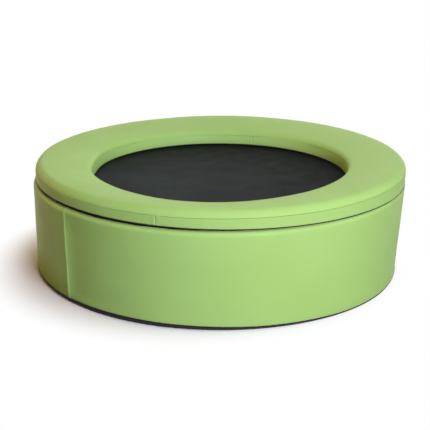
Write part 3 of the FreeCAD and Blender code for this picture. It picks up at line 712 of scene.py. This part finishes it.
TEETH = moulded_acetal()
BLACK_THREAD = sewing_thread("black_polyester_thread", "#1d1e1f", "#303132")


# The lid


def crowned(section):
    """Raises the lid's top between its two edges."""
    width = LID_RADIUS - OPENING
    for point in section:
        share = (point.x - OPENING) / width
        if 0 < share < 1 and point.y > WALL_TOP - LID_INNER_CORNER:
            point.y += LID_CROWN * 4 * share * (1 - share)
    return section


def lid_cover():
    """The four sewn panels of the lid's cover, each turned in at its seams."""
    upper, lower = BAND_TOP + RIM_SEAM_GAP, BAND_TOP - RIM_SEAM_GAP
    middle = ((LID_RADIUS + OPENING) / 2, (LID_TOP + LID_BOTTOM) / 2)
    top = turned(crowned(rounded([
        (LID_RADIUS - SEAM_DEPTH, upper),
        (LID_RADIUS - RIM_STEP, upper, SEAM_TURN),
        (LID_RADIUS - RIM_LEAN, LID_TOP - RIM_LEAN / 8, LID_CORNER),
        (OPENING, WALL_TOP, LID_INNER_CORNER),
        (OPENING, INNER_SEAM + INNER_SEAM_GAP, INNER_SEAM_TURN),
        (OPENING + SEAM_DEPTH, INNER_SEAM + INNER_SEAM_GAP),
    ], 6 * MM)), middle)
    rumple(top, [(LID_RADIUS, BAND_TOP), (OPENING, INNER_SEAM)], seed=0.3)
    settle_lid(top)
    top = piece("lid_top_panel", top, GREEN, "lid", "lid_cover_top", VINYL)

    hem = LID_BOTTOM + LID_HEM
    band = turned(rounded([
        (LID_RADIUS - SEAM_DEPTH, lower),
        (LID_RADIUS, lower, SEAM_TURN),
        (LID_RADIUS, hem + SEAM_GAP, SEAM_TURN),
        (LID_RADIUS - SEAM_DEPTH, hem + SEAM_GAP),
    ], 5 * MM), middle)
    rumple(band, [(LID_RADIUS, BAND_TOP), (LID_RADIUS, hem)], seed=0.3)
    for seam in BAND_SEAMS:
        stitch_joint(band, seam)
    settle_lid(band)
    band = piece("lid_outer_band", band, GREEN, "lid", "lid_cover_outer_band",
                 VINYL)

    inner_hem = LIP_BOTTOM + LID_HEM
    inner = turned(rounded([
        (OPENING + SEAM_DEPTH, INNER_SEAM - INNER_SEAM_GAP),
        (OPENING, INNER_SEAM - INNER_SEAM_GAP, INNER_SEAM_TURN),
        (OPENING, inner_hem + SEAM_GAP, SEAM_TURN),
        (OPENING + SEAM_DEPTH, inner_hem + SEAM_GAP),
    ], 5 * MM), middle)
    rumple(inner, [(OPENING, INNER_SEAM), (OPENING, inner_hem)], seed=0.7)
    for seam in BAND_SEAMS:
        stitch_joint(inner, seam, depth=1.2 * MM, pucker=0.9 * MM)
    settle_lid(inner)
    inner = piece("lid_inner_band", inner, GREEN, "lid", "lid_cover_inner_band",
                  VINYL)

    under = turned(rounded([
        (LID_RADIUS - SEAM_DEPTH, hem - SEAM_GAP),
        (LID_RADIUS, hem - SEAM_GAP, SEAM_TURN),
        (LID_RADIUS, LID_BOTTOM, LID_HEEL),
        (RING_INSIDE, LID_BOTTOM, 12 * MM),
        (OPENING + LID_LIP, LIP_BOTTOM, 12 * MM),
        (OPENING, LIP_BOTTOM, LID_HEEL),
        (OPENING, inner_hem - SEAM_GAP, SEAM_TURN),
        (OPENING + SEAM_DEPTH, inner_hem - SEAM_GAP),
    ], 7 * MM), middle)
    rumple(under, [(LID_RADIUS, hem), (OPENING, inner_hem)], slow=0.4 * MM, pucker=0.35 * MM)
    settle_lid(under)
    # the underside is of the dark grip sheet, which darkens the gap over the base: painted
    # shade in that gap
    under = piece("lid_underside", under, GRIP_AND_PAINTED_SHADE, "lid", "lid_cover_bottom",
                  VINYL)


def foam_halves(section, names, joints, body, settle):
    """The two halves of a ring of foam, which lie joint to joint inside its cover."""
    for name, joint in zip(names, joints):
        half = turned(section, start=joint, angle=180, around=FOAM_AROUND, closed=True)
        settle(half)
        half = piece(name, half, FOAM, body, name.removesuffix("_half"), sharp=50)


def lid_foam():
    """The foam inside the lid's cover."""
    inset = FOAM_CLEARANCE
    foam_halves(crowned(rounded([
        (OPENING + inset, LIP_BOTTOM + inset),
        (OPENING + LID_LIP, LIP_BOTTOM + inset, 8 * MM),
        (RING_INSIDE, LID_BOTTOM + inset, 8 * MM),
        (LID_RADIUS - inset, LID_BOTTOM + inset, 4 * MM),
        (LID_RADIUS - inset, LID_TOP - inset, LID_CORNER - inset),
        (OPENING + inset, WALL_TOP - inset, LID_INNER_CORNER - inset),
    ], 14 * MM, closed=True)), LID_FOAM, LID_FOAM_JOINTS, "lid", settle_lid)


# The base


def base_cover():
    """The four sewn panels of the base's cover."""
    middle = ((BASE_RADIUS + LINING) / 2, BASE_TOP / 2)
    side = turned(rounded([
        (BASE_RADIUS - SEAM_DEPTH, GRIP_TOP + SEAM_GAP),
        (BASE_RADIUS, GRIP_TOP + SEAM_GAP, SEAM_TURN),
        (BASE_RADIUS, BASE_TOP, BASE_BEND),
        (FOLD, BASE_TOP, SEAM_TURN),
        (FOLD, BASE_TOP - SEAM_DEPTH),
    ], 9 * MM), middle)
    rumple(side, [(BASE_RADIUS, GRIP_TOP), (FOLD, BASE_TOP)], slow=1.6 * MM, seed=1.9)
    stitch_joint(side, BASE_SEAM, depth=0, pucker=0.8 * MM, lap=1.6 * MM)
    settle_base(side)
    side = piece("base_side_panel", side, GREEN, "surround", "base_cover_side",
                 VINYL)

    grip = turned(rounded([
        (BASE_RADIUS - SEAM_DEPTH, GRIP_TOP - SEAM_GAP),
        (BASE_RADIUS, GRIP_TOP - SEAM_GAP, SEAM_TURN),
        (BASE_RADIUS, 0, GRIP_BEND),
        (LINING, 0),
    ], 5 * MM), middle)
    settle_base(grip)
    grip = piece("base_grip_sheet", grip, GRIP_AND_PAINTED_SHADE, "surround", "base_cover_bottom",
                 GRIP_SHEET)

    top = turned(rounded([
        (FOLD - 2 * SEAM_GAP, BASE_TOP - SEAM_DEPTH),
        (FOLD - 2 * SEAM_GAP, BASE_TOP, SEAM_TURN),
        (LINING, BASE_TOP, SEAM_TURN),
        (LINING, BASE_TOP - SEAM_DEPTH),
    ], 6 * MM), middle)
    # the top panel is of the dark grip sheet, which darkens the gap under the lid: painted
    # shade in that gap
    top = piece("base_top_panel", top, GRIP_AND_PAINTED_SHADE, "surround", "base_cover_top",
                VINYL)

    lining = turned(rounded([
        (LINING, BASE_TOP - SEAM_DEPTH - SEAM_GAP),
        (LINING, GRIP_SHEET),
    ], 14 * MM), middle, around=360)
    rumple(lining, [(LINING, BASE_TOP)], slow=0.8 * MM, seed=4.2)
    lining = piece("base_lining_panel", lining, LINING_GREEN, "surround",
                   "base_cover_lining", VINYL)


def base_foam():
    """The foam inside the base's cover."""
    inset = FOAM_CLEARANCE
    foam_halves(rounded([
        (LINING + inset, GRIP_SHEET + inset),
        (BASE_RADIUS - inset, GRIP_SHEET + inset, GRIP_BEND - inset),
        (BASE_RADIUS - inset, BASE_TOP - inset, BASE_BEND - inset),
        (LINING + inset, BASE_TOP - inset),
    ], 25 * MM, closed=True), BASE_FOAM, BASE_FOAM_JOINTS, "surround", settle_base)


# The fastenings


def fastening_pads(name, node, low_side, high_side, material, body):
    """Six hook or loop pads round the rim, sewn onto a panel."""
    bm = bmesh.new()
    section = rounded([
        (PAD_INSIDE, low_side), (PAD_INSIDE + PAD_WIDTH, low_side),
        (PAD_INSIDE + PAD_WIDTH, high_side), (PAD_INSIDE, high_side),
    ], 7 * MM, closed=True)
    for number in range(PADS):
        start = 360 / PADS * (number + 0.5) - PAD_ANGLE / 2
        join(bm, turned(section, start=start, angle=PAD_ANGLE, closed=True))
    pads = piece(name, bm, material, body, node, sharp=40)


def stitches(bm, radius, height, normal, start, spread, count):
    """Adds a row of stitches that lie along a circle, on a face with the given normal."""
    turn = Matrix.Rotation(math.radians(start), 3, "Z")
    out = turn @ Vector(normal)
    along = turn @ Vector((0, 1, 0))
    verts = grain_of_rice(bm, turn @ Vector((radius, 0, height)), along, out.cross(along),
                          math.radians(spread) * radius * STITCH_SHARE, STITCH_WIDTH,
                          STITCH_RISE)
    faces = list({face for vert in verts for face in vert.link_faces})
    spin(bm, faces, math.radians(spread) * (count - 1), count - 1, True)


def pad_stitches(name, height, normal, body):
    """Two rows of stitches along each pad's long edges."""
    bm = bmesh.new()
    for radius in (PAD_INSIDE + PAD_HEM, PAD_INSIDE + PAD_WIDTH - PAD_HEM):
        spread = math.degrees(PAD_STITCH / radius)
        count = int(PAD_ANGLE / spread) - 1
        start = 180 / PADS - spread * (count - 1) / 2
        stitches(bm, radius, height, normal, start, spread, count)
    repeat(bm, PADS, math.tau)
    piece(name, bm, BLACK_THREAD, body)


def box(bm, place, along, across, out, size):
    """A small block, its edges broken, by its middle, its three directions and its size."""
    turn = Matrix((along, across, out)).transposed().to_4x4()
    scale = Matrix.Diagonal((*size, 1))
    made = bmesh.ops.create_cube(bm, size=1, matrix=Matrix.Translation(place) @ turn @ scale)
    edges = list({edge for vert in made["verts"] for edge in vert.link_edges})
    bmesh.ops.bevel(bm, geom=edges, offset=min(size) * 0.18, segments=1, affect="EDGES",
                    profile=0.5, material=-1)


def zip_fastener(name, node, radius, height, normal, body):
    """A zip, on a surface that faces along its normal: two tapes whose edges meet, and
    two rows of moulded teeth that mesh with each other."""
    out = Vector(normal)
    across = Vector((1, 0, 0)) if out.z else UP
    middle = Vector((radius, 0, height))
    for side in (1, -1):
        inner = middle + across * side * ZIP_GAP
        outer = middle + across * side * ZIP_TAPE / 2
        section = rounded([(point.x, point.z) for point in (
            inner, outer, outer + out * ZIP_SHEET, inner + out * ZIP_SHEET)], 3 * MM,
            closed=True)
        half = turned(section, start=ZIP_START, angle=ZIP_ANGLE, closed=True)
        tape = piece(f"{name}_tape_{'outer' if side > 0 else 'inner'}", half, ZIP_CLOTH,
                     body, node if side > 0 else None, sharp=40)
    teeth = bmesh.new()
    count = 4 * int(math.radians(ZIP_ANGLE - 2) * radius / ZIP_PITCH / 4)
    step = math.radians(ZIP_ANGLE - 2) / count
    for side in (1, -1):
        angle = math.radians(ZIP_START + 1) + (step / 2 if side > 0 else 0)
        turn = Matrix.Rotation(angle, 3, "Z")
        centre = middle + across * side * TOOTH_ASIDE + out * (ZIP_SHEET + ZIP_RISE / 2)
        box(teeth, turn @ centre, turn @ Vector((0, 1, 0)), turn @ across, turn @ out,
            TOOTH_SIZE)
    bmesh.ops.recalc_face_normals(teeth, faces=teeth.faces)
    repeat(teeth, count, math.radians(ZIP_ANGLE - 2))
    piece(f"{name}_teeth", teeth, TEETH, body, sharp=30)


def wire(points, thickness, closed=False):
    """A mesh of round wire along a path."""
    curve = bpy.data.curves.new("wire", "CURVE")
    curve.dimensions = "3D"
    curve.bevel_depth = thickness / 2
    curve.bevel_resolution = 1
    curve.use_fill_caps = not closed
    spline = curve.splines.new("POLY")
    spline.points.add(len(points) - 1)
    for point, place in zip(spline.points, points):
        point.co = (*place, 1)
    spline.use_cyclic_u = closed
    holder = bpy.data.objects.new("wire", curve)
    mesh = bpy.data.meshes.new_from_object(holder)
    bm = bmesh.new()
    bm.from_mesh(mesh)
    bpy.data.objects.remove(holder)
    bpy.data.curves.remove(curve)
    bpy.data.meshes.remove(mesh)
    bmesh.ops.remove_doubles(bm, verts=bm.verts, dist=MM / 1000)
    bmesh.ops.recalc_face_normals(bm, faces=bm.faces)
    return bm


# The mat and what it hangs by


def stretch(made):
    """Bakes a piece of the bed's place into its mesh."""
    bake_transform(made)


def spring_path():
    """One spring, from its hook round the mat ring's tip, through its coil, to the tail
    that goes into the ring."""
    winding = (SPRING_DIAMETER - SPRING_WIRE) / 2
    begin = RING_TIP + 8.5 * MM
    end = RING_INSIDE - 13 * MM
    path = []
    for step in range(9):
        angle = math.radians(-60 - 30 * step)
        path.append(Vector((RING_TIP, 0, 0))
                    + HOOK_BEND * Vector((math.cos(angle), 0, math.sin(angle))))
    path.append(Vector((RING_TIP + 4.5 * MM, 0, winding * 0.75)))
    steps = round((end - begin) / COIL_PITCH) * COIL_STEPS
    for step in range(steps + 1):
        angle = math.pi / 2 + math.tau * step / COIL_STEPS
        path.append(Vector((begin + (end - begin) * step / steps,
                            winding * math.cos(angle), winding * math.sin(angle))))
    path.append(Vector((end + 3 * MM, 0, winding * 0.6)))
    path.append(Vector((end + 6 * MM, 0, 0)))
    path.append(Vector((RING_INSIDE + 4 * MM, 0, 0)))
    return [point + UP * RING_HEIGHT for point in path]


def springs():
    """The springs, close-wound, each hooked to a mat ring and to the frame."""
    bm = wire(spring_path(), SPRING_WIRE)
    repeat(bm, SPRINGS, math.tau)
    stretch(piece("coil_springs", bm, SPRING_STEEL, None, "springs"))


def mat_rings():
    """The triangular rings at the mat's edge, bent from wire."""
    path = rounded([
        (RING_BASE, -RING_HALF, RING_BEND), (RING_TIP + 1.6 * MM, 0, 2.6 * MM),
        (RING_BASE, RING_HALF, RING_BEND),
    ], 2.5 * MM, closed=True)
    bm = wire([Vector((point.x, point.y, RING_HEIGHT)) for point in path], RING_WIRE, True)
    repeat(bm, SPRINGS, math.tau)
    stretch(piece("mat_wire_rings", bm, ZINC, None, "mat_rings"))


def mat_webbing():
    """The webbing sewn under the mat's edge, its folded loops and the rows of stitches."""
    section = rounded([
        (MAT_RADIUS - TAPE_WIDTH, TAPE_BOTTOM), (MAT_RADIUS, TAPE_BOTTOM),
        (MAT_RADIUS, MAT_BOTTOM), (MAT_RADIUS - TAPE_WIDTH, MAT_BOTTOM),
    ], 8 * MM, closed=True)
    tape = piece("mat_edge_webbing", turned(section, around=360, closed=True), WEBBING, None,
                 "mat_edge_tape", sharp=40)
    stretch(tape)

    inside = MAT_RADIUS - 14 * MM
    reach = RING_BASE + RING_WIRE / 2 + 0.2 * MM + LOOP_CLOTH
    upper, lower = RING_HEIGHT + LOOP_HALF, RING_HEIGHT - LOOP_HALF
    strap = rounded([(inside, upper), (reach, upper, LOOP_HALF), (reach, lower, LOOP_HALF),
                     (inside, lower)], 3 * MM)
    spread = math.degrees(LOOP_WIDTH / MAT_RADIUS)
    loops = turned(strap, (MAT_RADIUS - 5 * MM, RING_HEIGHT), -spread / 2, spread,
                   around=round(4 * 360 / spread))
    repeat(loops, SPRINGS, math.tau)
    loops = piece("mat_loops_webbing", loops, WEBBING, None, "mat_loops",
                  LOOP_CLOTH)
    stretch(loops)

    rows = bmesh.new()
    for inset in HEM_ROWS:
        radius = MAT_RADIUS - inset
        group = 12
        count = group * round(math.tau * radius / (MAT_STITCH * group))
        row = bmesh.new()
        stitches(row, radius, MAT_TOP, UP, 0, 360 / count, group)
        repeat(row, count // group, math.tau)
        join(rows, row)
    stretch(piece("mat_hem_stitches", rows, BLACK_THREAD, None))


def jumping_mat():
    """The woven mat, its hem folded under."""
    bm = turned(rounded([
        (0, MAT_TOP), (MAT_RADIUS - 2 * MM, MAT_TOP, 1 * MM),
        (MAT_RADIUS, MAT_TOP - 0.8 * MM),
    ], 11 * MM), (0, 0), around=216)
    made = piece("jumping_mat", bm, MAT_CLOTH, None, "mat",
                 MAT_TOP - MAT_BOTTOM)
    stretch(made)


lid_cover()
lid_foam()
base_cover()
base_foam()
fastening_pads("base_hook_strips", "base_hook_pads", high("base_cover_top").z,
               high("base_hook_pads").z, HOOKS, "surround")
fastening_pads("lid_loop_strips", "lid_loop_pads", low("lid_loop_pads").z, LID_BOTTOM,
               LOOPS, "lid")
pad_stitches("base_hook_stitches", high("base_hook_pads").z, (0, 0, 1), "surround")
pad_stitches("lid_loop_stitches", low("lid_loop_pads").z, (0, 0, -1), "lid")
zip_fastener("base_zip", "base_zip", LINING, ZIP_HEIGHT, (-1, 0, 0), "surround")
zip_fastener("lid_zip", "lid_zip", LID_ZIP, LID_BOTTOM, (0, 0, -1), "lid")
jumping_mat()
mat_rings()
mat_webbing()
springs()


# The studio


def looked_at(tree, path):
    """1 for a ray by which the camera, or a mirror or glass before it, sees a surface, and
    0 for one that only carries light."""
    seen = path.outputs["Is Camera Ray"]
    for kind in ("Is Glossy Ray", "Is Transmission Ray"):
        seen = add(tree, "Math", {"operation": "MAXIMUM"}, in_0=seen,
                   in_1=path.outputs[kind]).outputs[0]
    return seen


def floor():
    """A floor that is seen as plain white away from the object, and takes its shadow near
    it. For light it is darker than it looks."""
    bm = bmesh.new()
    bmesh.ops.create_circle(bm, cap_ends=True, segments=96, radius=FLOOR_RADIUS)
    mesh = bpy.data.meshes.new("floor")
    bm.to_mesh(mesh)
    bm.free()
    made = bpy.data.objects.new("floor", mesh)
    bpy.context.scene.collection.objects.link(made)
    material = bpy.data.materials.new("pale_floor")
    material.use_nodes = True
    tree = material.node_tree
    tree.nodes.clear()
    place = add(tree, "TexCoord").outputs["Object"]
    far = add(tree, "VectorMath", {"operation": "DISTANCE"}, in_0=place,
              in_1=SHADOW_SIDE).outputs["Value"]
    blank = add(tree, "MapRange", {"interpolation_type": "SMOOTHSTEP"}, value=far,
                from_min=SHADOW_FADE[0], from_max=SHADOW_FADE[1]).outputs["Result"]
    path = add(tree, "LightPath")
    share = add(tree, "Math", {"operation": "MULTIPLY"}, in_0=looked_at(tree, path),
                in_1=blank).outputs[0]
    shade = add(tree, "Mix", {"data_type": "RGBA"}, factor=path.outputs["Is Camera Ray"],
                in_6=colour("#6f665a"), in_7=colour("#f7f4f2")).outputs[2]
    matt = add(tree, "BsdfDiffuse", color=shade).outputs[0]
    white = add(tree, "Emission", color=(1, 1, 1, 1), strength=1.0).outputs[0]
    mixed = add(tree, "MixShader", in_0=share, in_1=matt, in_2=white).outputs[0]
    add(tree, "OutputMaterial", surface=mixed)
    mesh.materials.append(material)


def lamp(name, azimuth, elevation, size, power, tint="#ffffff"):
    """A soft lamp that looks at the object from a direction round it: azimuth 0 is over
    the camera, and 90 is on the right."""
    light = bpy.data.lights.new(name, "AREA")
    light.shape = "RECTANGLE"
    light.size, light.size_y = size
    light.energy = power
    light.color = colour(tint)[:3]
    made = bpy.data.objects.new(name, light)
    bpy.context.scene.collection.objects.link(made)
    turn, rise = math.radians(azimuth), math.radians(elevation)
    way = Vector((math.sin(turn) * math.cos(rise), -math.cos(turn) * math.cos(rise),
                  math.sin(rise)))
    made.location = LAMP_AIM + way * LAMP_DISTANCE
    made.rotation_euler = (-way).to_track_quat("-Z", "Y").to_euler()
    return made


def studio():
    """A room that is seen as white, also in reflections, but gives no other light, and
    its lamps: a slightly blue key in front, weaker ones above, behind and on the right, and
    a warm one on the left. The low one at the back doesn't show in reflections."""
    world = bpy.data.worlds.new("studio")
    world.use_nodes = True
    bpy.context.scene.world = world
    tree = world.node_tree
    tree.nodes.clear()
    light = add(tree, "Background", color=(1, 1, 1, 1),
                strength=looked_at(tree, add(tree, "LightPath")))
    add(tree, "OutputWorld", surface=light.outputs[0])
    lamp("key", 19, 16, (1.4, 1.4), 124, "#e4e9ff")
    lamp("high_key", 26, 50, (1.4, 1.4), 8)
    lamp("top", 0, 80, (2.2, 1.8), 39)
    lamp("back", 180, 42, (2.4, 1.4), 18)
    lamp("low_back", 172, 10, (2.2, 1.2), 62).visible_glossy = False
    lamp("right", 100, 22, (1.4, 1.2), 19)
    lamp("warm_left", -106, 16, (2.2, 1.8), 34, "#ffb600")


def camera():
    """The camera, at the photograph's angle."""
    data = bpy.data.cameras.new("camera")
    data.lens = CAMERA_LENS
    data.sensor_width = 36
    data.clip_start, data.clip_end = 0.05, 200
    made = bpy.data.objects.new("camera", data)
    bpy.context.scene.collection.objects.link(made)
    turn = (Matrix.Rotation(-CAMERA_YAW, 4, "Z")
            @ Matrix.Rotation(math.pi / 2 - CAMERA_PITCH, 4, "X")
            @ Matrix.Rotation(CAMERA_ROLL, 4, "Z"))
    made.matrix_world = Matrix.Translation((0, -CAMERA_DISTANCE, CAMERA_HEIGHT)) @ turn
    bpy.context.scene.camera = made


def finish_frame():
    """The finish of the pieces that keep their own meshes."""
    finishes = {
        "ring_tube": RING_PAINT, "leg_foot": RUBBER, "leg_bolts": ZINC, "leg_nuts": ZINC,
        "joint_screws": ZINC, "leg": LEG_PAINT,
        "base_zip_slider": SLIDER_PAINT, "lid_zip_slider": SLIDER_PAINT,
    }
    for name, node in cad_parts.items():
        kind = next((kind for kind in finishes if name.startswith(kind)), None)
        if kind:
            node.data.materials.clear()
            node.data.materials.append(finishes[kind])


finish_frame()
floor()
studio()
camera()
bpy.context.scene.view_settings.view_transform = "Standard"
